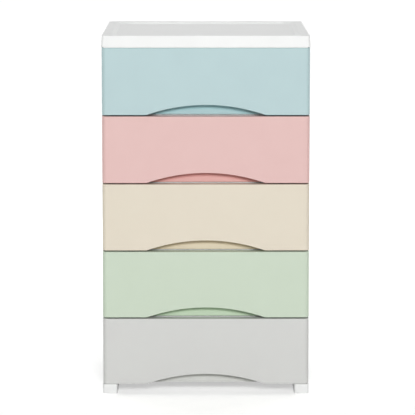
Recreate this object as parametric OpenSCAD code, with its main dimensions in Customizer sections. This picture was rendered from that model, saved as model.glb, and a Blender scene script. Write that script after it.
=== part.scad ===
// Drawer tower in moulded polypropylene: feet, a base frame, five tiers of side and back
// panels with shelf frames between them, a tray-topped cover and five sliding drawers.
// Each drawer is a tub with a separate hollow front that snaps onto it.
// +Z is up, the drawer fronts face -Y, and the origin is on the floor under the centre.

/* [Tower] */
// Width across the drawer fronts
front_w = 380; // [340:5:440]
// Front edge to back edge of the cover
depth = 400; // [370:5:440]
// Height of one tier, from one drawer front to the next
tier_h = 125; // [112:1:150]

/* [Drawer fronts] */
// Front to back depth of the hollow front
front_d = 22; // [18:1:28]
// Open gap between two fronts
front_gap = 2.6; // [1.6:0.2:5]
// Radius of the two upright corners
front_r = 8; // [5:0.5:9]
// Width of the arched finger grip at the lower edge
arch_w = 217; // [120:1:230]
// Height of the arched finger grip
arch_h = 18.5; // [8:0.5:24]

/* [Drawer tubs] */
// How far a drawer pulls out
travel = 235; // [150:5:240]
// Space between a tub's rim and the frame above it
rim_drop = 19; // [17:1:30]
// Radius of the tub's rear corners
tub_r = 14; // [6:1:24]

/* [Cabinet] */
// Height of a frame
frame_h = 12; // [10:1:16]
// Thickness of a side panel
panel_t = 12; // [10:1:14]
// Thickness of a back panel
back_t = 7; // [6:0.5:9]
// Width of a frame's side rails, on which the tubs slide
rail_w = 45; // [38:1:60]

/* [Cover] */
// Height of the cover
cover_h = 21; // [20:1:30]
// How far the cover stands out past the fronts
cover_over = 1; // [0.5:0.5:3]
// How much each side of the cover leans in towards the top
cover_draft = 1.5; // [0:0.5:2]
// Width of the flat border around the tray
tray_border = 18; // [14:1:30]
// Depth of the tray
tray_depth = 4.5; // [2:0.5:6]
// How far the tray's wall slopes in from its edge to its floor
tray_slope = 7; // [2:1:12]
// Radius of the tray's corners
tray_r = 28; // [14:1:40]

/* [Feet] */
// Height of the feet
foot_h = 18; // [14:1:40]
// Width of a foot
foot_w = 27; // [24:1:36]
// Front to back length of a foot, without the nose of the front ones
foot_l = 100; // [50:5:120]

/* [Walls] */
// Wall of the fronts, the cover and the feet
shell_t = 2.6; // [2:0.1:3.2]
// Wall of the tubs, frames and panels
wall_t = 2.2; // [1.8:0.1:2.6]

/* [Hidden] */
$fn = 72;
tiers = 5;
cabinet_colour = "#F6F6F6";
drawer_colours = ["#BFD5D7", "#E6C3BD", "#E5DCCB", "#CEDAC8", "#D4D3CF"];

play = 0.3; // between pieces that plug together
rib_t = 1.8;
front_lift = 1; // from a frame's underside up to its drawer front

cover_w = front_w + 2 * cover_over;
cab_w = front_w + 1;
panel_x1 = cab_w / 2 - 0.4; // outer face of a side panel, just inside the frames
panel_x0 = panel_x1 - panel_t;

front_y = -depth / 2 + cover_over;
front_y1 = front_y + front_d;
cab_y0 = front_y1 + 1;
cab_y1 = depth / 2 - 2;
back_y0 = cab_y1 - back_t;
cab_d = cab_y1 - cab_y0;
cab_mid = (cab_y0 + cab_y1) / 2;

front_h = tier_h - front_gap;
arch_r = (arch_w * arch_w / 4 + arch_h * arch_h) / (2 * arch_h);
pocket_h = front_h / 2; // the stiffened part of a front starts above the finger pocket

lip_w = 2.6; // outward lip on a tub's rim
tub_x = panel_x0 - 2 - lip_w;
tub_y1 = back_y0 - 9;
runner_h = 1.6;
tub_z = frame_h + 0.4 + runner_h;
rim_z = tier_h - rim_drop;
plate_y = front_y1 - wall_t; // front plate of a tub, which closes the front's hollow
plate_x = front_w / 2 - shell_t - 0.4;

catch_t = 2.8; // stop catches under a frame, and the lugs on a tub that meet them
lug_y = cab_y0 + catch_t + travel + 0.5;
lug_l = 20;

beam_w = 30; // front and rear beams of a frame
bar_w = 24; // bar across the middle of a frame
win_x = cab_w / 2 - rail_w;
win_y = cab_d / 2 - beam_w;

skirt_t = wall_t + 0.2; // edges of a frame, and the hollows between its ribs
side_cells = 7;
beam_cells = 5;
cover_cells = 6;
side_cell = (cab_d - 2 * skirt_t + rib_t) / side_cells;
beam_cell = (2 * win_x + rib_t) / beam_cells;

tab_l = 26; // tabs that locate the panels, each at the middle of a hollow
tab_h = 5;
tab_x = panel_x1 - max(skirt_t, shell_t + cover_draft) - play; // upper tabs, inside both skirts
side_tabs = [for (k = [-3, 0, 3]) k * side_cell];
back_tabs = [for (k = [-2, 0, 2]) k * beam_cell];

hook_w = 12; // snap hooks that hold a front to its tub
hook_t = 3;
hook_low = frame_h + 16;
hook_high = front_h - 22;
hook_out = front_w * 0.4;
hook_in = front_w * 0.16;
hooks = [[-hook_out, hook_low], [hook_out, hook_low],
         for (x = [-hook_out, -hook_in, hook_in, hook_out]) [x, hook_high]];

foot_x = cab_w / 2 - foot_w / 2;
foot_y = cab_d / 2 - foot_l / 2 - 1;
plug_h = 8; // how far the base frame plugs into a foot
foot_r = 4;
nose_y = front_y + 3; // front of the noses, just behind the drawer front above them
apron_h = front_gap - front_lift + 0.8; // closes the gap above a drawer front from behind
apron_y = cab_y0 + 1.5;

// Drawers and tiers are numbered from the top down; this is the underside of a tier's frame
function tier_z(i) = foot_h + (tiers - i) * tier_h;

// Rectangle with four round corners, centred
module rounded(w, d, r) {
    square([w - 2 * r, d], center = true);
    square([w, d - 2 * r], center = true);
    for (x = [-1, 1], y = [-1, 1])
        translate([x * (w / 2 - r), y * (d / 2 - r)]) circle(r);
}

// Rectangle from y0 to y1 that has round corners only at y1
module tongue(w, y0, y1, r) {
    s = sign(y1 - y0);
    translate([0, (y0 + y1 - s * r) / 2]) square([w, abs(y1 - y0) - r], center = true);
    translate([0, (y0 + y1) / 2]) square([w - 2 * r, abs(y1 - y0)], center = true);
    for (x = [-1, 1]) translate([x * (w / 2 - r), y1 - s * r]) circle(r);
}

// Block given by its two opposite corners
module block(a, b) {
    translate(a) cube(b - a);
}

// Blocks that fill a span in x and y but leave ribs between them
module cells(a, b, nx, ny) {
    sx = (b[0] - a[0] + rib_t) / nx;
    sy = (b[1] - a[1] + rib_t) / ny;
    for (i = [0:nx - 1], j = [0:ny - 1])
        block([a[0] + i * sx, a[1] + j * sy, a[2]],
              [a[0] + (i + 1) * sx - rib_t, a[1] + (j + 1) * sy - rib_t, b[2]]);
}

// ---------- cabinet ----------

// Flat frame with two windows, ribbed hollows underneath and slots for the panels' tabs
module frame_body() {
    roof = frame_h - wall_t - 0.4;
    slot_z = frame_h - tab_h - play;
    difference() {
        translate([0, cab_mid, 0]) linear_extrude(frame_h) rounded(cab_w, cab_d, 3);
        for (s = [-1, 1]) {
            window_y0 = s > 0 ? bar_w / 2 : -win_y;
            window_y1 = s > 0 ? win_y : -bar_w / 2;
            block([-win_x, cab_mid + window_y0, -1], [win_x, cab_mid + window_y1, frame_h + 1]);
        }
        translate([0, cab_mid, 0]) {
            for (s = [0, 1]) mirror([s, 0, 0]) {
                cells([win_x + skirt_t, -cab_d / 2 + skirt_t, -1],
                      [cab_w / 2 - skirt_t, cab_d / 2 - skirt_t, roof], 1, side_cells);
                for (y = side_tabs) // slots for the side panels
                    block([panel_x0 + 3 - play, y - tab_l / 2 - play, slot_z],
                          [panel_x0 + 3 + wall_t + play, y + tab_l / 2 + play, frame_h + 1]);
            }
            for (s = [0, 1]) mirror([0, s, 0])
                cells([-win_x, win_y + skirt_t, -1], [win_x, cab_d / 2 - skirt_t, roof], beam_cells, 1);
            cells([-win_x, -bar_w / 2 + skirt_t, -1], [win_x, bar_w / 2 - skirt_t, roof], beam_cells, 1);
        }
        for (x = back_tabs) // slots for the back panel
            block([x - tab_l / 2 - play, back_y0 + 1 - play, slot_z],
                  [x + tab_l / 2 + play, back_y0 + 1 + wall_t + play, frame_h + 1]);
    }
}

// Two catches that hang behind the drawer front and stop the drawer's lugs
module catches() {
    for (s = [0, 1]) mirror([s, 0, 0])
        block([tub_x - 6, cab_y0, rim_z + 3 - tier_h], [tub_x + 3, cab_y0 + catch_t, 2]);
}

// Frame under drawer i, with an apron and the catches for drawer i + 1
module shelf_frame(i) {
    color(cabinet_colour) translate([0, 0, tier_z(i)]) {
        frame_body();
        block([0.5 - panel_x0, apron_y, -apron_h], [panel_x0 - 0.5, apron_y + skirt_t, frame_h - wall_t]);
        catches();
    }
}

// Frame under the lowest drawer, with a hollow plug for each foot
module base_frame() {
    color(cabinet_colour) translate([0, 0, foot_h]) {
        frame_body();
        for (sx = [-1, 1], sy = [-1, 1])
            translate([sx * foot_x, cab_mid + sy * foot_y, -plug_h]) foot_plug();
    }
}

module foot_plug() {
    w = foot_w - 2 * shell_t - 2 * play;
    l = foot_l - 2 * shell_t - 2 * play;
    difference() {
        linear_extrude(plug_h + frame_h - wall_t) rounded(w, l, 2.4);
        translate([-w / 2 + wall_t, -l / 2 + wall_t, -1])
            cube([w - 2 * wall_t, l - 2 * wall_t, plug_h + frame_h]);
    }
}

// Ribbed side wall of one tier, with a shallow sunk field outside and tabs above and below
module side_panel_body() {
    h = tier_h - frame_h;
    l = back_y0 - cab_y0;
    field_margin = 16;
    translate([0, (cab_y0 + back_y0) / 2, frame_h]) {
        difference() {
            block([panel_x0, -l / 2, 0], [panel_x1, l / 2, h]);
            translate([0, 0, wall_t])
                cells_upright(panel_x0 - 1, panel_x1 - wall_t - 0.4, l - 2 * wall_t, h - 2 * wall_t, 6);
            translate([panel_x1 - 0.8, 0, h / 2]) rotate([90, 0, 90])
                linear_extrude(2) rounded(l - 2 * field_margin, h - 2 * field_margin, 8);
        }
        for (k = side_tabs) {
            y = k + cab_mid - (cab_y0 + back_y0) / 2;
            block([panel_x0 + 3, y - tab_l / 2, -tab_h], [panel_x0 + 3 + wall_t, y + tab_l / 2, 1]);
            block([tab_x - wall_t, y - tab_l / 2, h - 1], [tab_x, y + tab_l / 2, h + tab_h]);
        }
    }
}

// A row of n hollows along Y between upright ribs, from x0 to x1
module cells_upright(x0, x1, l, h, n) {
    s = (l + rib_t) / n;
    for (j = [0:n - 1])
        block([x0, -l / 2 + j * s, 0], [x1, -l / 2 + (j + 1) * s - rib_t, h]);
}

module side_panel(i, side) {
    color(cabinet_colour) translate([0, 0, tier_z(i)])
        mirror([side == "left" ? 1 : 0, 0, 0]) side_panel_body();
}

// Ribbed back wall of one tier, as wide as the cabinet
module back_panel(i) {
    h = tier_h - frame_h;
    w = 2 * panel_x1;
    skin = wall_t + 0.4;
    field_margin = 20;
    color(cabinet_colour) translate([0, 0, tier_z(i) + frame_h]) {
        difference() {
            linear_extrude(h) tongue(w, back_y0, cab_y1, 2.6);
            cells([-w / 2 + wall_t + 1, back_y0 - 1, wall_t],
                  [w / 2 - wall_t - 1, cab_y1 - skin, h - wall_t], 6, 1);
            translate([0, cab_y1 - 0.8, h / 2]) rotate([-90, 0, 0])
                linear_extrude(2) rounded(w - 2 * field_margin, h - 2 * field_margin, 8);
        }
        for (x = back_tabs)
            block([x - tab_l / 2, back_y0 + 1, -tab_h], [x + tab_l / 2, back_y0 + 1 + wall_t, 1]);
    }
}

// Cover with a shallow tray on top, a leaning skirt all round, a lip that closes the gap above
// the top drawer front, and ribs underneath, the front one of which carries the catches
module top_cover() {
    w = cover_w;
    skirt = shell_t + cover_draft;
    lean = [1 - 2 * cover_draft / w, 1 - 2 * cover_draft / depth];
    tray_w = w - 2 * (tray_border + tray_slope); // at its floor
    tray_l = depth - 2 * (tray_border + tray_slope);
    widen = 2 * tray_slope * (tray_depth + 1) / tray_depth;
    edge = tray_border - shell_t; // hollow under the border, outside the tray's wall
    color(cabinet_colour) translate([0, 0, tier_z(0)]) {
        difference() {
            linear_extrude(cover_h, scale = lean, slices = 1) rounded(w, depth, 5);
            translate([0, 0, cover_h - tray_depth])
                linear_extrude(tray_depth + 1, scale = [1 + widen / tray_w, 1 + widen / tray_l], slices = 1)
                    rounded(tray_w, tray_l, tray_r - 1);
            for (s = [0, 1]) {
                mirror([s, 0, 0])
                    block([w / 2 - edge, -depth / 2 + skirt, -1],
                          [w / 2 - skirt, depth / 2 - skirt, cover_h - shell_t]);
                mirror([0, s, 0])
                    block([-w / 2 + edge + rib_t, depth / 2 - edge, -1],
                          [w / 2 - edge - rib_t, depth / 2 - skirt, cover_h - shell_t]);
            }
            cells([-w / 2 + edge + rib_t, -depth / 2 + edge + rib_t, -1],
                  [w / 2 - edge - rib_t, depth / 2 - edge - rib_t, cover_h - tray_depth - shell_t],
                  cover_cells, cover_cells);
        }
        block([-w / 2 + 3, cab_y0, 0], [w / 2 - 3, cab_y0 + catch_t, cover_h - tray_depth - 1]);
        block([-w / 2 + 5, -depth / 2, front_lift - front_gap + 0.4], [w / 2 - 5, front_y + shell_t, 1]);
        catches();
    }
}

// Hollow foot, open above, where the base frame plugs in. The front ones have a nose that
// reaches forward under the lowest drawer front.
module foot(end, side) {
    sy = end == "front" ? -1 : 1;
    color(cabinet_colour) mirror([side == "left" ? 1 : 0, 0, 0])
        difference() {
            linear_extrude(foot_h) {
                translate([foot_x, cab_mid + sy * foot_y]) rounded(foot_w, foot_l, foot_r);
                if (end == "front")
                    translate([foot_x, 0]) tongue(foot_w, cab_mid - foot_y, nose_y, foot_r);
            }
            translate([foot_x, cab_mid + sy * foot_y, 0]) {
                translate([0, 0, foot_h - plug_h - 1]) linear_extrude(plug_h + 2)
                    rounded(foot_w - 2 * shell_t, foot_l - 2 * shell_t, 2.6);
                translate([0, 0, shell_t])
                    cells([-foot_w / 2 + shell_t + 2, -foot_l / 2 + shell_t + 2, 0],
                          [foot_w / 2 - shell_t - 2, foot_l / 2 - shell_t - 2, foot_h], 1, 3);
            }
            if (end == "front") // the nose is hollow from below
                block([cab_w / 2 - foot_w + shell_t, nose_y + shell_t, -1],
                      [cab_w / 2 - shell_t, cab_y0 + 1, foot_h - shell_t]);
        }
}

// ---------- drawers ----------

// Tub with a front plate, a lipped rim, two runners, stop lugs and two rear keepers
module drawer_box(i) {
    inner_x = tub_x - wall_t;
    keeper_w = 30;
    color(drawer_colours[i - 1]) translate([0, 0, tier_z(i)]) {
        difference() {
            union() {
                block([-plate_x, plate_y, front_lift - 0.4],
                      [plate_x, front_y1, front_lift + front_h - shell_t - 0.4]);
                translate([0, 0, tub_z]) linear_extrude(rim_z - tub_z)
                    tongue(2 * tub_x, plate_y, tub_y1, tub_r);
                translate([0, 0, rim_z - wall_t]) linear_extrude(wall_t)
                    tongue(2 * (tub_x + lip_w), plate_y, tub_y1 + lip_w, tub_r + lip_w);
                for (s = [0, 1]) mirror([s, 0, 0]) {
                    block([inner_x, lug_y, rim_z - 2], [tub_x, lug_y + lug_l, rim_z + 8]);
                    block([tub_x - tub_r - keeper_w, tub_y1 - wall_t, rim_z - 2],
                          [tub_x - tub_r, tub_y1, tier_h - 2.6]);
                    block([inner_x - 12, plate_y + 8, tub_z - runner_h],
                          [inner_x - 6, tub_y1 - tub_r, tub_z + 1]);
                }
            }
            translate([0, 0, tub_z + wall_t]) linear_extrude(rim_z)
                tongue(2 * inner_x, front_y1, tub_y1 - wall_t, tub_r - wall_t);
            for (p = hooks)
                block([p[0] - hook_w / 2 - play, plate_y - 1, front_lift + p[1] - play],
                      [p[0] + hook_w / 2 + play, front_y1 + 1, front_lift + p[1] + hook_t + 2]);
        }
    }
}

// Hollow front: skin, round upright corners, arched grip, ribs and snap hooks
module drawer_front(i) {
    rib_y = plate_y - 0.4;
    color(drawer_colours[i - 1]) translate([0, 0, tier_z(i) + front_lift]) {
        difference() {
            linear_extrude(front_h) tongue(front_w, front_y1, front_y, front_r);
            translate([0, 0, -1]) linear_extrude(front_h - shell_t + 1)
                tongue(front_w - 2 * shell_t, front_y1 + 1, front_y + shell_t, front_r - shell_t);
            arch(arch_r, front_y - 1, front_y + shell_t + 1);
        }
        arch_lip();
        for (s = [0, 1]) mirror([s, 0, 0])
            block([arch_w / 2 + 16, front_y + 1, 4], [arch_w / 2 + 16 + rib_t, rib_y, front_h - 1]);
        block([-arch_w / 2 - 17, front_y + 1, pocket_h], [arch_w / 2 + 17, rib_y, pocket_h + rib_t]);
        for (k = [-2:2])
            block([k * arch_w / 5 - rib_t / 2, front_y + 1, pocket_h + 1],
                  [k * arch_w / 5 + rib_t / 2, rib_y, front_h - 1]);
        for (p = hooks) hook(p[0], p[1]);
    }
}

// The grip's arch as a solid of radius r between two depths
module arch(r, y0, y1) {
    translate([0, y1, arch_h - arch_r]) rotate([90, 0, 0]) cylinder(h = y1 - y0, r = r, $fn = 360);
}

// Narrow turned-in edge that follows the arch behind the skin
module arch_lip() {
    intersection() {
        difference() {
            arch(arch_r + 2, front_y + 1, front_y + shell_t + 2);
            arch(arch_r, front_y, front_y + shell_t + 3);
        }
        block([-arch_w / 2, front_y, 0.5], [arch_w / 2, front_y1, front_h]);
    }
}

// Snap hook that passes through the tub's front plate
module hook(x, z) {
    block([x - hook_w / 2, front_y + 1, z], [x + hook_w / 2, front_y1 + 3.4, z + hook_t]);
    block([x - hook_w / 2, front_y1 + 0.2, z - 1.4], [x + hook_w / 2, front_y1 + 3.4, z + 1]);
}

top_cover();
base_frame();
for (i = [1:tiers - 1])
    shelf_frame(i);
for (i = [1:tiers], s = ["left", "right"])
    side_panel(i, s);
for (i = [1:tiers])
    back_panel(i);
for (e = ["front", "rear"], s = ["left", "right"])
    foot(e, s);
for (i = [1:tiers])
    drawer_box(i);
for (i = [1:tiers])
    drawer_front(i);
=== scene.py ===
import math

import bmesh
import bpy
from mathutils import Matrix, Vector


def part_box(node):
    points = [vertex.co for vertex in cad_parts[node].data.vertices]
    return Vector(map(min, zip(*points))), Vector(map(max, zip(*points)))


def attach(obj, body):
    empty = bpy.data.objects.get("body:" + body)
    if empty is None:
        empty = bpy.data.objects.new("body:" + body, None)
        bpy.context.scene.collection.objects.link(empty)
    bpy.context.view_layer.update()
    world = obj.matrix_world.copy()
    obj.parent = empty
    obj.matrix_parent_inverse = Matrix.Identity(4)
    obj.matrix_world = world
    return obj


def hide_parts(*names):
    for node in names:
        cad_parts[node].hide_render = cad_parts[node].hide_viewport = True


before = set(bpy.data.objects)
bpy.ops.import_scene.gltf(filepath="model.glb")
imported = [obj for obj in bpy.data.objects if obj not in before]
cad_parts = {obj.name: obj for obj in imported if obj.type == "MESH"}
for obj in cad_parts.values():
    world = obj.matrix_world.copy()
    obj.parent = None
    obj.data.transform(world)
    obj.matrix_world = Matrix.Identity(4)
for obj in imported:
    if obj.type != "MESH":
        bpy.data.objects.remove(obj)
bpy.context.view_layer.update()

mm = 0.001


def metres(values):
    # a dictionary of millimetres, turned to metres
    return {key: value * mm for key, value in values.items()}


tierCount = len([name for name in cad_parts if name.startswith("drawer_front_")])
tiers = range(1, tierCount + 1)  # 1 is the top drawer
drawerSlots = {1: "drawer_blue", 2: "drawer_pink", 3: "drawer_cream", 4: "drawer_green", 5: "drawer_grey"}
cabinetSlot = "cabinet_white"

# sizes that several pieces share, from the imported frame
low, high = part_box("drawer_front_1")
frontHalf = high.x
frontFace = low.y  # plane of the drawer fronts
frontHeight = high.z - low.z
pitch = low.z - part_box("drawer_front_2")[0].z  # from one tier down to the next
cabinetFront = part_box("side_panel_left_1")[0].y
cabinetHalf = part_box("base_frame")[1].x
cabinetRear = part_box("base_frame")[1].y
cabinetMiddle = (cabinetFront + cabinetRear) / 2
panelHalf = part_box("side_panel_right_1")[1].x
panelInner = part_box("side_panel_right_1")[0].x
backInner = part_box("back_panel_1")[0].y
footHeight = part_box("foot_front_left")[1].z
frameHeight = 12 * mm
# underside of the frame below each tier, and of the cover at 0
baseZ = {i: footHeight + (tierCount - i) * pitch for i in range(0, tierCount + 1)}

rib = 1.8 * mm         # thickness of every rib
sink = 1 * mm          # how far a block runs into the one that carries it
touch = 0.5 * mm       # the same where there is less room
hair = 0.2 * mm        # keeps two faces out of one plane
tolerance = 0.02 * mm  # within which a vertex counts as lying on a plane

arch = metres({"width": 217, "height": 18.5})  # the finger grip in the lower edge of each drawer front
archRadius = (arch["width"] ** 2 / 4 + arch["height"] ** 2) / (2 * arch["height"])
archAngle = 2 * math.asin(arch["width"] / 2 / archRadius)


# the camera, a long lens from in front and a little above

cameraValues = {
    "distance": 4.7,    # m in front of the tower's middle
    "sideways": -0.01,  # m, to the left
    "height": 0.9855,   # m
    "turn": 0.165,      # degrees to the right
    "tilt": 8.052,      # degrees down
    "lens": 215.1,      # mm
    "sensor": 36,       # mm
}


def makeCamera():
    values = cameraValues
    data = bpy.data.cameras.new("studioCamera")
    data.sensor_width = values["sensor"]
    data.lens = values["lens"]
    camera = bpy.data.objects.new("studioCamera", data)
    bpy.context.scene.collection.objects.link(camera)
    camera.location = (values["sideways"], -values["distance"], values["height"])
    camera.rotation_euler = (math.radians(90 - values["tilt"]), 0, -math.radians(values["turn"]))
    bpy.context.scene.camera = camera


makeCamera()
print("camera placed")


# the materials

def colour(hexCode):
    # sRGB hex to linear RGBA
    channels = [int(hexCode[i:i + 2], 16) / 255 for i in (1, 3, 5)]
    linear = [c / 12.92 if c <= 0.04045 else ((c + 0.055) / 1.055) ** 2.4 for c in channels]
    return (*linear, 1.0)


def addNode(tree, kind, settings=None, inputs=None):
    # a shader node with its settings; an input has a name or a number, and is a value or a socket to link
    node = tree.nodes.new("ShaderNode" + kind)
    for key, value in (settings or {}).items():
        setattr(node, key, value)
    for key, value in (inputs or {}).items():
        if isinstance(value, bpy.types.NodeSocket):
            tree.links.new(value, node.inputs[key])
        else:
            node.inputs[key].default_value = value
    return node


polypropyleneValues = {
    "ior": 1.49,
    "grain": 0.45,           # mm between the mould's eroded pits, really 0.1, coarser here so that they show
    "grainDepth": 0.02,      # mm
    "grainStrength": 0.6,
    "ripple": 70,            # mm, slow waves where the melt shrank a little unevenly
    "rippleDepth": 0.1,      # mm
    "blotch": 45,            # mm, faint clouding of the pigment
    "roughChange": 0.03,     # how much rougher or smoother it is where it is clouded
    "patternHeight": 0.33,   # m, the tower's middle, round which the patterns are laid
    "paintedShadeStrength": 1.2,         # how strongly painted shade deepens the colour of the wall behind a finger grip, 0 is not at all
    "paintedShadeLowShare": 0.4,         # share of that painted shade which is left lower down, in the light
    "paintedShadeFullDepth": 4,          # mm under the arch's edge, down to which the painted shade is full
    "paintedShadeFadeDepth": 11,          # mm under the arch's edge, from which on only that share is left
    "gripBelow": 2,          # mm under a front's lower edge, where its tier begins for the painted shade
    "gripReach": 0.4,        # mm before and behind the wall's face that count as the wall
}


def addPaintedGripShade(tree, coordinates):
    # how much painted shade a point gets: none but on the wall behind a grip, and most just under the arch,
    # where the arch's shadow falls
    values = polypropyleneValues
    place = addNode(tree, "SeparateXYZ", inputs={"Vector": coordinates["Object"]}).outputs
    facing = addNode(tree, "SeparateXYZ", inputs={"Vector": coordinates["Normal"]}).outputs
    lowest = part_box(f"drawer_front_{tierCount}")[0].z
    start = lowest - values["gripBelow"] * mm
    inTier = addNode(tree, "Math", {"operation": "WRAP"}, {
        0: place["Z"], 1: start + pitch, 2: start})  # every drawer as if it were the lowest
    spot = addNode(tree, "CombineXYZ", inputs={"X": place["X"], "Z": inTier.outputs["Value"]})
    fromCentre = addNode(tree, "VectorMath", {"operation": "DISTANCE"}, {
        0: spot.outputs["Vector"], 1: (0, 0, lowest + arch["height"] - archRadius)})
    # painted shade: full just under the arch's edge, where the arch's shadow falls, and only a share of it
    # lower down
    shade = addNode(tree, "MapRange", inputs={
        "Value": fromCentre.outputs["Value"], "From Min": archRadius - values["paintedShadeFadeDepth"] * mm,
        "From Max": archRadius - values["paintedShadeFullDepth"] * mm, "To Min": values["paintedShadeLowShare"], "To Max": 1.0})
    atWall = addNode(tree, "Math", {"operation": "COMPARE"}, {
        0: place["Y"], 1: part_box("drawer_box_1")[0].y, 2: values["gripReach"] * mm})
    forward = addNode(tree, "Math", {"operation": "LESS_THAN"}, {0: facing["Y"], 1: -0.5})
    behindGrip = addNode(tree, "Math", {"operation": "MULTIPLY"}, {
        0: atWall.outputs["Value"], 1: forward.outputs["Value"]})
    amount = addNode(tree, "Math", {"operation": "MULTIPLY"}, {
        0: behindGrip.outputs["Value"], 1: shade.outputs["Result"]})
    return amount.outputs["Value"]


def polypropylene(name, pigment, clouded, roughness):
    # Injection-moulded polypropylene, pigmented right through, from a spark-eroded mould:
    # satin-matt, soft wide highlights, a very fine grain and almost no change of colour. The wall
    # behind a finger grip gets painted shade: its colour is multiplied deeper and more saturated,
    # most just under the arch's edge, standing in for the shadow there and for the light that has
    # bounced off and passed through several coloured walls.
    material = bpy.data.materials.new(name)
    material.use_nodes = True
    tree = material.node_tree
    tree.nodes.clear()
    values = polypropyleneValues
    coordinates = addNode(tree, "TexCoord").outputs
    centred = addNode(tree, "Mapping", inputs={
        "Vector": coordinates["Object"], "Location": (0, 0, -values["patternHeight"])}).outputs["Vector"]
    cloud = addNode(tree, "TexNoise", inputs={
        "Vector": centred, "Scale": 1 / (values["blotch"] * mm), "Detail": 3.0, "Roughness": 0.55})
    mixed = addNode(tree, "Mix", {"data_type": "RGBA"}, {
        "Factor": cloud.outputs["Fac"], "A": colour(pigment), "B": colour(clouded)})
    # painted shade: the pigment multiplied by its own colour scaled to its strongest channel, darker and more
    # saturated
    strongest = max(colour(pigment)[:3])
    paintedShadeColour = [(channel / strongest) ** values["paintedShadeStrength"] for channel in colour(pigment)[:3]]
    paintedShadeMix = addNode(tree, "Mix", {"data_type": "RGBA", "blend_type": "MULTIPLY"}, {
        "Factor": addPaintedGripShade(tree, coordinates), "A": mixed.outputs["Result"], "B": (*paintedShadeColour, 1.0)})
    rough = addNode(tree, "MapRange", inputs={
        "Value": cloud.outputs["Fac"], "From Min": 0.3, "From Max": 0.7,
        "To Min": roughness - values["roughChange"], "To Max": roughness + values["roughChange"]})
    ripple = addNode(tree, "TexNoise", inputs={
        "Vector": centred, "Scale": 1 / (values["ripple"] * mm), "Detail": 1.0})
    waves = addNode(tree, "Bump", inputs={
        "Strength": 1.0, "Distance": values["rippleDepth"] * mm, "Height": ripple.outputs["Fac"]})
    grain = addNode(tree, "TexNoise", inputs={
        "Vector": centred, "Scale": 1 / (values["grain"] * mm), "Detail": 2.0, "Roughness": 0.6})
    pits = addNode(tree, "Bump", inputs={
        "Strength": values["grainStrength"], "Distance": values["grainDepth"] * mm,
        "Height": grain.outputs["Fac"], "Normal": waves.outputs["Normal"]})
    surface = addNode(tree, "BsdfPrincipled", inputs={
        "Base Color": paintedShadeMix.outputs["Result"], "Roughness": rough.outputs["Result"],
        "IOR": values["ior"], "Normal": pits.outputs["Normal"]})
    addNode(tree, "OutputMaterial", inputs={"Surface": surface.outputs["BSDF"]})
    return material


materials = {  # each one's pigment, the same pigment where it is clouded, and its roughness
    "cabinet_white": polypropylene("whitePolypropylene", "#F8F9F8", "#F4F5F4", 0.46),
    "drawer_blue": polypropylene("bluePolypropylene", "#BED7D9", "#BBD3D6", 0.52),
    "drawer_pink": polypropylene("pinkPolypropylene", "#EAC5C1", "#E7C1BD", 0.52),
    "drawer_cream": polypropylene("creamPolypropylene", "#EAE1CF", "#E7DDCB", 0.52),
    "drawer_green": polypropylene("greenPolypropylene", "#D2E0CD", "#CFDDC9", 0.52),
    "drawer_grey": polypropylene("greyPolypropylene", "#DBDCD9", "#D8D8D6", 0.52),
}
print("materials made")


# the helpers that shape and finish a mesh

meshValues = {
    "cornerSteps": 12,   # in each rounded corner of an outline
    "edgeSteps": 2,      # in the softened edges
    "edgeAngle": 40,     # degrees, from which on an edge is softened
    "flatWeight": 90,    # of large faces, so that they stay flat to the eye
    "skinStep": 20 * mm,
}


def addBlock(bm, low, high):
    size = Vector(high) - Vector(low)
    place = Matrix.Translation((Vector(high) + Vector(low)) / 2) @ Matrix.Diagonal((*size, 1))
    return bmesh.ops.create_cube(bm, size=1, matrix=place)["verts"]


def addSideBlock(bm, side, distances, depths, heights):
    # a block on the left (-1) or the right (1), between two distances from the middle
    x0, x1 = sorted(side * distance for distance in distances)
    return addBlock(bm, (x0, depths[0], heights[0]), (x1, depths[1], heights[1]))


def rectangle(x0, x1, y0, y1, frontRadius, rearRadius=None):
    # corners of an outline, each with its radius
    rear = frontRadius if rearRadius is None else rearRadius
    return [(x0, y0, frontRadius), (x1, y0, frontRadius), (x1, y1, rear), (x0, y1, rear)]


def roundOff(bm, parts, radius, steps, affect="EDGES"):
    bmesh.ops.bevel(bm, geom=parts, offset=radius, offset_type="OFFSET", affect=affect,
                    segments=steps, profile=0.5, material=-1)


def roundEdges(bm, wanted, radius, steps=4):
    # rounds the edges whose two ends both pass the test
    edges = [e for e in bm.edges if wanted(e.verts[0].co) and wanted(e.verts[1].co)]
    roundOff(bm, edges, radius, steps)


def addOutline(bm, corners, z):
    # flat face with rounded corners
    known = set(bm.faces)
    verts = [bm.verts.new((x, y, z)) for x, y, radius in corners]
    bm.faces.new(verts)
    for vert, (x, y, radius) in zip(verts, corners):
        roundOff(bm, [vert], radius, meshValues["cornerSteps"], "VERTICES")
    return [face for face in bm.faces if face not in known][0]


def stackOutlines(bm, outlines, ring=False):
    # closed body skinned through outlines at given heights; a ring joins its last one to its first.
    # They are skinned one step apart and moved after that, since bridging two in one plane can cross over.
    loops, moves = [], []
    for number, (corners, z) in enumerate(outlines):
        level = number * meshValues["skinStep"]
        face = addOutline(bm, corners, level)
        loops.append(list(face.edges))
        moves.append((list(face.verts), z - level))
        if ring or 0 < number < len(outlines) - 1:
            bmesh.ops.delete(bm, geom=[face], context="FACES_ONLY")
    pairs = list(zip(loops, loops[1:])) + ([(loops[-1], loops[0])] if ring else [])
    for lower, upper in pairs:
        bmesh.ops.bridge_loops(bm, edges=lower + upper)
    for verts, rise in moves:
        bmesh.ops.translate(bm, vec=(0, 0, rise), verts=verts)
    bmesh.ops.recalc_face_normals(bm, faces=bm.faces)


def near(a, b):
    return abs(a - b) < tolerance


def turnBody(bm, xAxis, yAxis, zAxis, origin):
    # moves a body built lying flat so that its x, y and z run along the given axes
    turn = Matrix((xAxis, yAxis, zAxis)).transposed().to_4x4()
    bmesh.ops.transform(bm, matrix=Matrix.Translation(origin) @ turn, verts=bm.verts)


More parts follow.
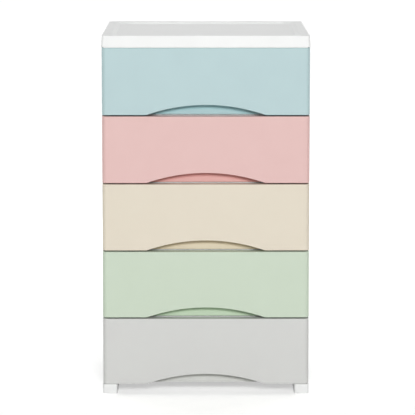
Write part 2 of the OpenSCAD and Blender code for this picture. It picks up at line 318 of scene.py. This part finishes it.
def finishPiece(name, bm, slot, body, node, softEdge):
    # turns the bmesh into a piece with softened edges that stands for a CAD node
    bmesh.ops.recalc_face_normals(bm, faces=bm.faces)
    mesh = bpy.data.meshes.new(name)
    bm.to_mesh(mesh)
    bm.free()
    mesh.shade_smooth()
    mesh.materials.append(materials[slot])
    piece = bpy.data.objects.new(name, mesh)
    bpy.context.scene.collection.objects.link(piece)
    soften = piece.modifiers.new("softEdges", "BEVEL")
    soften.width = softEdge
    soften.segments = meshValues["edgeSteps"]
    soften.limit_method = "ANGLE"
    soften.angle_limit = math.radians(meshValues["edgeAngle"])
    soften.use_clamp_overlap = True
    weigh = piece.modifiers.new("flatShading", "WEIGHTED_NORMAL")
    weigh.weight = meshValues["flatWeight"]
    weigh.keep_sharp = True
    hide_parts(node)
    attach(piece, body)


# the drawer fronts, hollow shells with an arched grip, ribs and snap hooks

frontValues = {"archSteps": 64, "cornerSteps": 10, "upperRibs": 5, "lipShare": 0.96, **metres({
    "depth": 22, "wall": 2.6, "corner": 8, "topEdge": 1.3, "softEdge": 0.35,
    "lip": 2,          # height and depth of the edge that turns in along the lip's share of the arch
    "lipBack": 0.05,   # how far the lip stands back from the arch's own edge
    "plate": 2.2,      # thickness of the tub's front plate, behind the hollow
    "plateGap": 0.4,   # between the ribs and that plate
    "ribBeside": 16,   # from the arch's end to the rib beside it
    "ribRise": 4,      # from the lower edge up to that rib
    "hookWidth": 12, "hookThick": 3,
    "hookReach": 3.2,  # past the plate, behind its slot
    "hookLow": 28,     # from the lower edge up to the lower hooks
    "hookDown": 22,    # from the top down to the upper hooks
    "hookOut": 152, "hookIn": 60.8,  # from the middle
    "barb": 1.3, "barbPlay": 0.3, "barbSlope": 1.1,
})}
frontRear = frontFace + frontValues["depth"]  # rear of the fronts, and of the plate in each
plateFront = frontRear - frontValues["plate"]


def addFrontSkin(bm, inset, bottom):
    # one side of the moulded wall: a flat face with an arch cut in its lower edge, two sides and a top
    half = frontHalf - inset
    top = bottom + frontHeight - inset
    front = frontFace + inset
    start = bm.verts.new((-arch["width"] / 2, front, bottom))
    arc = bmesh.ops.spin(bm, geom=[start], cent=(0, front, bottom + arch["height"] - archRadius),
                         axis=(0, 1, 0), angle=archAngle, steps=frontValues["archSteps"], use_duplicate=False)
    last = [part for part in arc["geom_last"] if isinstance(part, bmesh.types.BMVert)][0]
    corners = [(half, bottom), (half, top), (-half, top), (-half, bottom)]
    path = [last, *(bm.verts.new((x, front, z)) for x, z in corners), start]
    straight = [bm.edges.new(pair) for pair in zip(path, path[1:])]
    rim = [e for e in bm.edges if near(e.verts[0].co.y, front) and near(e.verts[1].co.y, front)]
    bmesh.ops.contextual_create(bm, geom=rim)
    sides = bmesh.ops.extrude_edge_only(bm, edges=straight[1:4])
    moved = [part for part in sides["geom"] if isinstance(part, bmesh.types.BMVert)]
    bmesh.ops.translate(bm, vec=(0, frontRear - front, 0), verts=moved)
    roundOff(bm, [straight[1], straight[3]], frontValues["corner"] - inset, frontValues["cornerSteps"])


def addArchLip(bm, bottom):
    # narrow edge turned in behind the arch, a small rectangle swept round it
    values = frontValues
    lip, share = values["lip"], values["lipShare"]
    centre = Vector((0, frontFace, bottom + arch["height"] - archRadius))
    toLip = Vector((0, values["wall"] + lip / 2 - sink / 2, archRadius + lip / 2 + values["lipBack"]))
    start = bmesh.ops.create_grid(bm, x_segments=1, y_segments=1, size=0.5)["verts"]
    bmesh.ops.scale(bm, vec=(lip, lip + sink, 1), verts=start)
    bmesh.ops.rotate(bm, cent=(0, 0, 0), matrix=Matrix.Rotation(math.pi / 2, 3, "Y"), verts=start)
    bmesh.ops.translate(bm, vec=centre + toLip, verts=start)
    bmesh.ops.rotate(bm, cent=centre, matrix=Matrix.Rotation(-archAngle * share / 2, 3, "Y"), verts=start)
    edges = {e for v in start for e in v.link_edges}
    faces = {face for v in start for face in v.link_faces}
    bmesh.ops.spin(bm, geom=[*start, *faces, *edges], cent=centre, axis=(0, 1, 0),
                   angle=archAngle * share, steps=values["archSteps"], use_duplicate=False)


def addHook(bm, x, z):
    # barbed hook that holds the front in a slot of the tub
    values = frontValues
    half = values["hookWidth"] / 2
    tip = frontRear + values["hookReach"]
    addBlock(bm, (x - half, frontFace + sink, z), (x + half, tip, z + values["hookThick"]))
    barb = addBlock(bm, (x - half, frontRear + values["barbPlay"], z - values["barb"]),
                    (x + half, tip, z + sink))
    for v in barb:
        if near(v.co.y, tip) and v.co.z < z:
            v.co.z += values["barbSlope"]  # lead-in slope


def addFrontRibs(bm, bottom, top):
    # a rib beside each end of the arch, a level one that closes the finger pocket above, and some over that
    values = frontValues
    inner = frontFace + sink
    outer = plateFront - values["plateGap"]
    ribX = arch["width"] / 2 + values["ribBeside"]
    for side in (-1, 1):
        addSideBlock(bm, side, (ribX, ribX + rib), (inner, outer), (bottom + values["ribRise"], top - sink))
    pocket = (bottom + top) / 2
    addBlock(bm, (-ribX - touch, inner, pocket), (ribX + touch, outer, pocket + rib))
    count = values["upperRibs"]
    for number in range(count):
        x = (number - count // 2) * arch["width"] / count
        addBlock(bm, (x - rib / 2, inner, pocket + sink), (x + rib / 2, outer, top - sink))


def makeFront(tier):
    values = frontValues
    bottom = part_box(f"drawer_front_{tier}")[0].z
    top = bottom + frontHeight
    bm = bmesh.new()
    addFrontSkin(bm, 0, bottom)
    addFrontSkin(bm, values["wall"], bottom)
    bmesh.ops.bridge_loops(bm, edges=[e for e in bm.edges if e.is_boundary])
    bmesh.ops.recalc_face_normals(bm, faces=bm.faces)

    def onTopRim(point):
        outside = near(point.y, frontFace) or near(abs(point.x), frontHalf)
        centre = Vector((frontHalf, frontFace)) + Vector((-1, 1)) * values["corner"]
        fromCentre = Vector((abs(point.x), point.y)) - centre
        return near(point.z, top) and (outside or near(fromCentre.length, values["corner"]))

    roundEdges(bm, onTopRim, values["topEdge"])
    addArchLip(bm, bottom)
    addFrontRibs(bm, bottom, top)
    for side in (-1, 1):
        addHook(bm, side * values["hookOut"], bottom + values["hookLow"])
        for x in (values["hookOut"], values["hookIn"]):
            addHook(bm, side * x, top - values["hookDown"])
    finishPiece(f"frontShell_{tier}", bm, drawerSlots[tier], f"drawer_{tier}", f"drawer_front_{tier}",
                values["softEdge"])


for tier in tiers:
    makeFront(tier)
print("drawer fronts modelled")


# the stop catches, which hang from the front edge of the cover and of each frame but the lowest

catchValues = metres({
    "thick": 2.8,
    "in": 6, "out": 3,  # from the tub's wall towards the middle, and away from it
    "overRim": 3,       # from the rim up to the catch's lower end
    "root": 2,          # how far it reaches up into the frame
    "chamfer": 1.2,
})
catchRear = cabinetFront + catchValues["thick"]


def addCatches(bm, base):
    values = catchValues
    lowest = base - tubValues["rimDrop"] + values["overRim"]
    for side in (-1, 1):
        block = addSideBlock(bm, side, (tubHalf - values["in"], tubHalf + values["out"]),
                             (cabinetFront, catchRear), (lowest, base + values["root"]))
        for v in block:
            if near(v.co.z, lowest) and near(v.co.y, cabinetFront):
                v.co.y += values["chamfer"]  # towards the drawer front


# the drawer tubs

tubValues = {"floorSteps": 5, "innerSteps": 4, **metres({
    "wall": 2.2, "corner": 14, "lip": 2.6, "softEdge": 0.45,
    "floor": 14,        # from the underside of the frame below up to the floor
    "rimDrop": 19,      # from the underside of the frame above down to the rim
    "rearGap": 9, "sideGap": 4.6,
    "draft": 1.6,       # how far the walls lean in, from the rim to the floor
    "frontCorner": 1.2, "frontFoot": 6,  # the front corners, at the rim and at the floor
    "frontSkin": 0.3,   # how much of the plate lies before the lip, and how much stands in the hollow
    "frontStep": 1.2,   # how much further the lip reaches into the plate than the wall under it
    "floorEdge": 5,
    "runner": 1.6,      # height of the two runners under the floor
    "runnerOut": 6, "runnerIn": 12, "runnerBack": 8,
    "travel": 235,
    "lugPlay": 0.5, "lugLength": 20, "lugHeight": 8, "lugFoot": 2, "lugSlope": 9,
    "keeper": 30,       # width of the blocks at the rear that stop the drawer from tipping when it is out
    "keeperPlay": 2.6,  # under the frame above
})}
tubHalf = panelInner - tubValues["sideGap"]


def addTubBody(bm, rear, floor, rim):
    # one moulding from its outside, over the lip and down the inside
    values = tubValues
    wall, lip, draft = values["wall"], values["lip"], values["draft"]
    corner, small, foot = values["corner"], values["frontCorner"], values["frontFoot"]
    front = plateFront + values["frontSkin"]
    wallFront = front + values["frontStep"]
    half = tubHalf
    inFront = frontRear - values["frontSkin"]
    inHalf, inRear, inCorner = half - wall, rear - wall, corner - wall
    stackOutlines(bm, [
        (rectangle(-half + draft, half - draft, wallFront, rear - draft, foot, corner), floor),
        (rectangle(-half, half, wallFront, rear, small, corner), rim - wall),
        (rectangle(-half - lip, half + lip, front, rear + lip, small, corner + lip), rim - wall),
        (rectangle(-half - lip, half + lip, front, rear + lip, small, corner + lip), rim),
        (rectangle(-inHalf, inHalf, inFront, inRear, small, inCorner), rim),
        (rectangle(-inHalf + draft, inHalf - draft, inFront, inRear - draft, foot, inCorner), floor + wall),
    ])
    roundEdges(bm, lambda point: near(point.z, floor), values["floorEdge"], values["floorSteps"])
    roundEdges(bm, lambda point: near(point.z, floor + wall), values["floorEdge"] - wall,
               values["innerSteps"])


def makeTub(tier):
    base = baseZ[tier]
    values = tubValues
    wall, corner = values["wall"], values["corner"]
    low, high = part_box(f"drawer_box_{tier}")
    rear = backInner - values["rearGap"]
    floor = base + values["floor"]
    rim = base + pitch - values["rimDrop"]
    bm = bmesh.new()
    addTubBody(bm, rear, floor, rim)
    addBlock(bm, (low.x, plateFront, low.z), (high.x, frontRear, high.z))
    lugFront = catchRear + values["travel"] + values["lugPlay"]  # meets the catch when the drawer is out
    for side in (-1, 1):
        lug = addSideBlock(bm, side, (tubHalf - wall, tubHalf), (lugFront, lugFront + values["lugLength"]),
                           (rim - values["lugFoot"], rim + values["lugHeight"]))
        for v in lug:
            if v.co.z > rim and not near(v.co.y, lugFront):
                v.co.y -= values["lugSlope"]  # sloped rear, so that the drawer can be put back in
        addSideBlock(bm, side, (tubHalf - corner - values["keeper"], tubHalf - corner), (rear - wall, rear),
                     (rim - values["lugFoot"], base + pitch - values["keeperPlay"]))
        addSideBlock(bm, side, (tubHalf - wall - values["runnerIn"], tubHalf - wall - values["runnerOut"]),
                     (plateFront + values["runnerBack"], rear - corner),
                     (floor - values["runner"], floor + sink))
    finishPiece(f"tub_{tier}", bm, drawerSlots[tier], f"drawer_{tier}", f"drawer_box_{tier}",
                values["softEdge"])


for tier in tiers:
    makeTub(tier)
print("drawer tubs modelled")


# the cover, with its tray on top and a rib grid underneath

coverValues = {"cells": 6, "edgeSteps": 5, **metres({
    "wall": 2.6, "corner": 5, "topEdge": 1.6, "softEdge": 0.35,
    "draft": 1.5,      # how far the skirt leans out, from the top to its lower edge
    "border": 18,      # round the tray
    "tray": 4.5,       # depth of the tray
    "traySlope": 7, "trayCorner": 28, "floorCorner": 27, "trayEdge": 1, "trayFoot": 0.8,
    "gridInset": 0.2,  # of the rib ring from the tray's outline underneath
    "wallInset": 3,    # of the wall that carries the catches, from the sides
    "lip": 1.2, "lipInset": 5, "lipBack": 0.3,  # the strip that closes the gap above the top drawer
})}


def addCoverGrid(bm, ringX, ringY, bottom, ribTop):
    # the rib that runs round under the tray's edge, and the grid inside it
    for side in (-1, 1):
        addSideBlock(bm, side, (ringX, ringX - rib), (-ringY, ringY), (bottom, ribTop))
        y0, y1 = sorted((side * ringY, side * (ringY - rib)))
        addBlock(bm, (-ringX + touch, y0, bottom), (ringX - touch, y1, ribTop))
    for number in range(1, coverValues["cells"]):
        share = 2 * number / coverValues["cells"] - 1
        x, y = share * ringX, share * ringY
        addBlock(bm, (x - rib / 2, -ringY + sink, bottom + hair), (x + rib / 2, ringY - sink, ribTop))
        addBlock(bm, (-ringX + sink, y - rib / 2, bottom + hair), (ringX - sink, y + rib / 2, ribTop))


def makeCover():
    low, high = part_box("top_cover")
    values = coverValues
    wall, border, draft, corner = values["wall"], values["border"], values["draft"], values["corner"]
    half, front, rear, top = high.x, low.y, high.y, high.z
    bottom = baseZ[0]
    deep = top - values["tray"]
    skirt = wall + draft
    trayCorner = values["trayCorner"]

    def inward(distance, radius):
        return rectangle(-half + distance, half - distance, front + distance, rear - distance, radius)

    bm = bmesh.new()
    stackOutlines(bm, [
        (inward(border + values["traySlope"], values["floorCorner"]), deep),
        (inward(border, trayCorner), top),
        (inward(draft, corner), top),
        (inward(0, corner), bottom),
        (inward(skirt, corner - wall), bottom),
        (inward(skirt, corner - wall), top - wall),
        (inward(border - wall, trayCorner + wall), top - wall),
        (inward(border - wall, trayCorner + wall), deep - wall),
    ])

    def inTray(point):
        edge = border - tolerance
        return abs(point.x) < half - edge and front + edge < point.y < rear - edge

    roundEdges(bm, lambda point: near(point.z, top) and not inTray(point), values["topEdge"],
               values["edgeSteps"])
    roundEdges(bm, lambda point: near(point.z, top) and inTray(point), values["trayEdge"])
    roundEdges(bm, lambda point: near(point.z, deep) and inTray(point), values["trayFoot"])
    ribTop = deep - wall + touch
    ringInset = border - wall + values["gridInset"]
    addCoverGrid(bm, half - ringInset, rear - ringInset, bottom, ribTop)
    addBlock(bm, (-half + values["wallInset"], cabinetFront, bottom + hair / 2),
             (half - values["wallInset"], catchRear, ribTop))
    addBlock(bm, (-half + values["lipInset"], front + values["lipBack"], bottom - values["lip"]),
             (half - values["lipInset"], front + wall, bottom + sink))
    addCatches(bm, bottom)
    finishPiece("coverShell", bm, cabinetSlot, "cabinet", "top_cover", values["softEdge"])


makeCover()
print("cover modelled")


# the frames, each a ring of shallow hollow beams with a bar across its middle

frameValues = {"sideCells": 7, "beamCells": 5, "seamSteps": 3, **metres({
    "rail": 45, "beam": 30, "bar": 24, "roof": 2.6, "skirt": 2.4,
    "corner": 3, "seam": 1.1, "softEdge": 0.3,
    "windowCorner": 1, "skirtCorner": 2, "innerCorner": 1,
    "plugDepth": 8, "plugWall": 2.2, "plugDrop": 2.4, "plugCorner": 2,  # the plugs that hold the feet
    "footLength": 100,  # length of foot that a plug fills, from the foot's rear end
    "footWall": 2.6, "play": 0.3,
    "apron": 2.4, "apronBack": 1.5, "apronInset": 0.5,
})}
windowHalf = cabinetHalf - frameValues["rail"]
windowFront = cabinetFront + frameValues["beam"]
windowRear = cabinetRear - frameValues["beam"]
sideCell = (cabinetRear - cabinetFront - 2 * frameValues["skirt"] + rib) / frameValues["sideCells"]
beamCell = (2 * windowHalf + rib) / frameValues["beamCells"]


def addFrameRing(bm, base, top, roof):
    # up the outside, down the window and through the hollow underneath
    values = frameValues
    skirt, corner, small = values["skirt"], values["corner"], values["innerCorner"]
    half, front, rear = cabinetHalf, cabinetFront, cabinetRear
    outside = half, front, rear
    window = windowHalf, windowFront, windowRear
    inner = windowHalf + skirt, windowFront - skirt, windowRear + skirt
    outer = half - skirt, front + skirt, rear - skirt
    stackOutlines(bm, [(rectangle(-x, x, y0, y1, radius), z) for (x, y0, y1), radius, z in (
        (outside, corner, base),
        (outside, corner, top),
        (window, values["windowCorner"], top),
        (window, values["windowCorner"], base),
        (inner, values["skirtCorner"], base),
        (inner, values["skirtCorner"], roof),
        (outer, small, roof),
        (outer, small, base),
    )], ring=True)

    def onOutline(point):
        reach = skirt - tolerance
        hollow = abs(point.x) < half - reach and front + reach < point.y < rear - reach
        atSide = abs(point.x) > half - corner - tolerance
        return not hollow and (atSide or not front + corner < point.y < rear - corner)

    for level in (base, top):
        roundEdges(bm, lambda point: near(point.z, level) and onOutline(point), values["seam"],
                   values["seamSteps"])


def addMiddleBar(bm, base, top, roof):
    # the bar across the middle, a roof on two skirts
    half, barHalf = windowHalf + sink, frameValues["bar"] / 2
    addBlock(bm, (-half, cabinetMiddle - barHalf, roof), (half, cabinetMiddle + barHalf, top))
    for side in (-1, 1):
        y0, y1 = sorted((side * barHalf, side * (barHalf - frameValues["skirt"])))
        addBlock(bm, (-half, cabinetMiddle + y0, base), (half, cabinetMiddle + y1, roof + touch))


def addFrameRibs(bm, base, roof):
    # ribs in the hollows underneath
    values = frameValues
    heights = base + hair, roof + touch
    for number in range(1, values["sideCells"]):
        y = cabinetFront + values["skirt"] + number * sideCell - rib / 2
        for side in (-1, 1):
            addSideBlock(bm, side, (windowHalf + sink, cabinetHalf - sink), (y - rib / 2, y + rib / 2),
                         heights)
    barHalf = values["bar"] / 2
    beams = [(cabinetFront + sink, windowFront - sink), (windowRear + sink, cabinetRear - sink)]
    bar = [(cabinetMiddle - barHalf + sink, cabinetMiddle + barHalf - sink)]
    for number in range(0, values["beamCells"] + 1):
        x = -windowHalf + number * beamCell - rib / 2
        inBar = bar if 0 < number < values["beamCells"] else []
        for y0, y1 in beams + inBar:
            addBlock(bm, (x - rib / 2, y0, heights[0]), (x + rib / 2, y1, heights[1]))


def footBoxes():
    for side in ("left", "right"):
        for end in ("front", "rear"):
            low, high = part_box(f"foot_{end}_{side}")
            yield end, side, low, high


def addFootPlugs(bm, base):
    values = frameValues
    shrink = values["footWall"] + values["play"]
    wall, corner = values["plugWall"], values["plugCorner"]
    bottom, top = base - values["plugDepth"], base + frameHeight - values["plugDrop"]
    for end, side, low, high in footBoxes():
        x0, x1 = low.x + shrink, high.x - shrink
        y0, y1 = high.y - values["footLength"] + shrink, high.y - shrink
        outside = rectangle(x0, x1, y0, y1, corner)
        inside = rectangle(x0 + wall, x1 - wall, y0 + wall, y1 - wall, corner / 2)
        ring = bmesh.new()
        stackOutlines(ring, [(outside, bottom), (outside, top), (inside, top), (inside, bottom)], ring=True)
        part = bpy.data.meshes.new("plug")
        ring.to_mesh(part)
        ring.free()
        bm.from_mesh(part)
        bpy.data.meshes.remove(part)


def addApron(bm, base, roof):
    # closes the gap above the drawer front below
    values = frameValues
    half = panelInner - values["apronInset"]
    front = cabinetFront + values["apronBack"]
    addBlock(bm, (-half, front, base - values["apron"]), (half, front + values["skirt"], roof + touch))


def makeFrame(name, base, node):
    top = base + frameHeight
    roof = top - frameValues["roof"]
    bm = bmesh.new()
    addFrameRing(bm, base, top, roof)
    addMiddleBar(bm, base, top, roof)
    addFrameRibs(bm, base, roof)
    if node == "base_frame":
        addFootPlugs(bm, base)
    else:
        addCatches(bm, base)
        addApron(bm, base, roof)
    finishPiece(name, bm, cabinetSlot, "cabinet", node, frameValues["softEdge"])


makeFrame("frameBase", baseZ[tierCount], "base_frame")
for tier in tiers[:-1]:
    makeFrame(f"frameShelf_{tier}", baseZ[tier], f"shelf_frame_{tier}")
print("frames modelled")


# the side and back panels, shallow ribbed boxes with a sunk field and tabs that plug into the frames

panelValues = {"cells": 6, "seamSteps": 3, **metres({
    "wall": 2.2, "skin": 2.6, "corner": 1.2, "seam": 1.1, "softEdge": 0.35,
    "sunk": 0.8, "sideMargin": 16, "backMargin": 20, "fieldCorner": 8,
    "ribInSkin": 0.4, "ribInBack": 2, "backRibInset": 1,  # how the ribs meet the skin and the end walls
    "tabLength": 26, "tabDrop": 5, "tabIn": 3, "tabOut": 4.4, "backTabIn": 1,
})}


def addPanelShell(bm, length, height, depth, margin):
    # shallow open box lying face up, with a sunk field in its face
    values = panelValues
    wall, corner = values["wall"], values["corner"]

    def inward(distance, radius):
        x, y = length / 2 - distance, height / 2 - distance
        return rectangle(-x, x, -y, y, radius)

    def onOutline(point):
        reach = corner + tolerance
        atSide = abs(point.x) > length / 2 - reach
        return near(point.z, 0) and (atSide or abs(point.y) > height / 2 - reach)

    stackOutlines(bm, [
        (inward(margin, values["fieldCorner"]), -values["sunk"]),
        (inward(margin, values["fieldCorner"]), 0),
        (inward(0, corner), 0),
        (inward(0, corner), -depth),
        (inward(wall, corner / 2), -depth),
        (inward(wall, corner / 2), -values["skin"]),
    ])
    roundEdges(bm, onOutline, values["seam"], values["seamSteps"])


def makeSidePanel(tier, side):
    values = panelValues
    wall, drop, tabHalf = values["wall"], values["tabDrop"], values["tabLength"] / 2
    bottom, top = baseZ[tier] + frameHeight, baseZ[tier] + pitch
    length = backInner - cabinetFront
    middle = (backInner + cabinetFront) / 2
    bm = bmesh.new()
    addPanelShell(bm, length, top - bottom, panelHalf - panelInner, values["sideMargin"])
    turnBody(bm, (0, 1, 0), (0, 0, 1), (1, 0, 0), (panelHalf, middle, (bottom + top) / 2))
    skin = panelHalf - values["skin"] + values["ribInSkin"]
    step = (length - 2 * wall + rib) / values["cells"]
    for number in range(1, values["cells"]):
        y = cabinetFront + wall + number * step - rib / 2
        addBlock(bm, (panelInner + hair, y - rib / 2, bottom + sink), (skin, y + rib / 2, top - sink))
    lowerTab = panelInner + values["tabIn"]
    upperTab = panelHalf - values["tabOut"]
    for number in (-3, 0, 3):  # tabs between the frames' ribs, counted in cells from the middle
        y = cabinetMiddle + number * sideCell
        addBlock(bm, (lowerTab, y - tabHalf, bottom - drop), (lowerTab + wall, y + tabHalf, bottom + sink))
        addBlock(bm, (upperTab - wall, y - tabHalf, top - sink), (upperTab, y + tabHalf, top + drop))
    if side == "left":
        bmesh.ops.scale(bm, vec=(-1, 1, 1), verts=bm.verts)
    finishPiece(f"sideWall_{side}_{tier}", bm, cabinetSlot, "cabinet", f"side_panel_{side}_{tier}",
                values["softEdge"])


def makeBackPanel(tier):
    values = panelValues
    wall, drop, tabHalf = values["wall"], values["tabDrop"], values["tabLength"] / 2
    bottom, top = baseZ[tier] + frameHeight, baseZ[tier] + pitch
    bm = bmesh.new()
    addPanelShell(bm, 2 * panelHalf, top - bottom, cabinetRear - backInner, values["backMargin"])
    turnBody(bm, (-1, 0, 0), (0, 0, 1), (0, 1, 0), (0, cabinetRear, (bottom + top) / 2))
    half = panelHalf - wall - values["backRibInset"]
    skin = cabinetRear - values["ribInBack"]
    step = (2 * half + rib) / values["cells"]
    for number in range(1, values["cells"]):
        x = -half + number * step - rib / 2
        addBlock(bm, (x - rib / 2, backInner + hair, bottom + sink), (x + rib / 2, skin, top - sink))
    tab = backInner + values["backTabIn"]
    for number in (-2, 0, 2):  # tabs, counted in the same way
        x = number * beamCell
        addBlock(bm, (x - tabHalf, tab, bottom - drop), (x + tabHalf, tab + wall, bottom + sink))
    finishPiece(f"backWall_{tier}", bm, cabinetSlot, "cabinet", f"back_panel_{tier}", values["softEdge"])


for tier in tiers:
    makeSidePanel(tier, "left")
    makeSidePanel(tier, "right")
    makeBackPanel(tier)
print("panels modelled")


# the feet

footValues = metres({"corner": 4, "sole": 1, "soleIn": 0.8, "softEdge": 0.5})


def makeFoot(end, side, low, high):
    values = footValues

    def inward(distance):
        return rectangle(low.x + distance, high.x - distance, low.y + distance, high.y - distance,
                         values["corner"] - distance)

    bm = bmesh.new()
    stackOutlines(bm, [(inward(values["soleIn"]), 0), (inward(0), values["sole"]), (inward(0), high.z)])
    finishPiece(f"footShell_{end}_{side}", bm, cabinetSlot, "cabinet", f"foot_{end}_{side}",
                values["softEdge"])


for end, side, low, high in footBoxes():
    makeFoot(end, side, low, high)
print("feet modelled")


# the studio, a pale room with soft boxes

studioValues = {
    "world": 0.11,        # strength of the even light from all round
    "floorColour": "#F4F4F3",
    "floorHalf": 60,      # m
    "glow": 0.47,         # what the floor adds for the eye only, near the tower
    "farGlow": 0.93,      # and further off, up to white
    "glowStart": 0.45,    # m from the tower's middle
    "glowEnd": 1.6,
    # soft boxes: W, size in m, place and what it points at
    "key": (446, (3.0, 1.7), (0.6, -8.3, 3.3), (0, 0, 0.3)),     # above the camera, a little to the right
    "fill": (11, (2.2, 1.6), (-2.8, -3.6, 2.4), (0, 0, 0.3)),    # to the left
    "top": (12.5, (1.6, 1.6), (0, 0.5, 2.6), (0, 0.1, 0.66)),    # overhead
    "left": (22, (1.2, 1.2), (-2.1, 1.8, 0.9), (0, 0.1, 0.3)),   # behind the fronts' plane
    "right": (22, (1.2, 1.2), (2.1, 1.8, 0.9), (0, 0.1, 0.3)),
}


def addSoftbox(name, power, size, place, target):
    data = bpy.data.lights.new(name, "AREA")
    data.shape = "RECTANGLE"
    data.size, data.size_y = size
    data.energy = power
    lamp = bpy.data.objects.new(name, data)
    bpy.context.scene.collection.objects.link(lamp)
    lamp.location = place
    lamp.rotation_euler = (Vector(target) - Vector(place)).to_track_quat("-Z", "Y").to_euler()


def seenByEye(tree):
    # 1 for camera, mirror and glass rays, 0 for the light that falls on things
    path = addNode(tree, "LightPath").outputs
    first = addNode(tree, "Math", {"operation": "MAXIMUM"}, {
        0: path["Is Camera Ray"], 1: path["Is Glossy Ray"]})
    second = addNode(tree, "Math", {"operation": "MAXIMUM"}, {
        0: first.outputs["Value"], 1: path["Is Transmission Ray"]})
    return second.outputs["Value"]


def makeRoom():
    # a white room to the eye, a dim even light to the tower
    world = bpy.data.worlds.new("paleRoom")
    bpy.context.scene.world = world
    world.use_nodes = True
    tree = world.node_tree
    tree.nodes.clear()
    strength = addNode(tree, "MapRange", inputs={
        "Value": seenByEye(tree), "To Min": studioValues["world"], "To Max": 1.0})
    background = addNode(tree, "Background", inputs={
        "Color": (1, 1, 1, 1), "Strength": strength.outputs["Result"]})
    addNode(tree, "OutputWorld", inputs={"Surface": background.outputs["Background"]})


def paleFloor():
    # matt paper that keeps the tower's shadow and fades to white further off
    values = studioValues
    material = bpy.data.materials.new("paleFloor")
    material.use_nodes = True
    tree = material.node_tree
    tree.nodes.clear()
    place = addNode(tree, "TexCoord").outputs["Object"]
    away = addNode(tree, "VectorMath", {"operation": "LENGTH"}, {0: place})
    level = addNode(tree, "MapRange", {"interpolation_type": "SMOOTHSTEP"}, {
        "Value": away.outputs["Value"], "From Min": values["glowStart"], "From Max": values["glowEnd"],
        "To Min": values["glow"], "To Max": values["farGlow"]})
    glow = addNode(tree, "Math", {"operation": "MULTIPLY"}, {0: seenByEye(tree), 1: level.outputs["Result"]})
    matt = addNode(tree, "BsdfDiffuse", inputs={"Color": colour(values["floorColour"])})
    light = addNode(tree, "Emission", inputs={"Color": (1, 1, 1, 1), "Strength": glow.outputs["Value"]})
    both = addNode(tree, "AddShader", inputs={0: matt.outputs["BSDF"], 1: light.outputs["Emission"]})
    addNode(tree, "OutputMaterial", inputs={"Surface": both.outputs["Shader"]})
    return material


def makeFloor():
    bm = bmesh.new()
    bmesh.ops.create_grid(bm, x_segments=1, y_segments=1, size=studioValues["floorHalf"])
    mesh = bpy.data.meshes.new("studioFloor")
    bm.to_mesh(mesh)
    bm.free()
    mesh.materials.append(paleFloor())
    floor = bpy.data.objects.new("studioFloor", mesh)
    bpy.context.scene.collection.objects.link(floor)


makeRoom()
makeFloor()
for lamp in ("key", "fill", "top", "left", "right"):
    addSoftbox(lamp + "Softbox", *studioValues[lamp])
bpy.context.scene.view_settings.view_transform = "Standard"
print("studio lit")
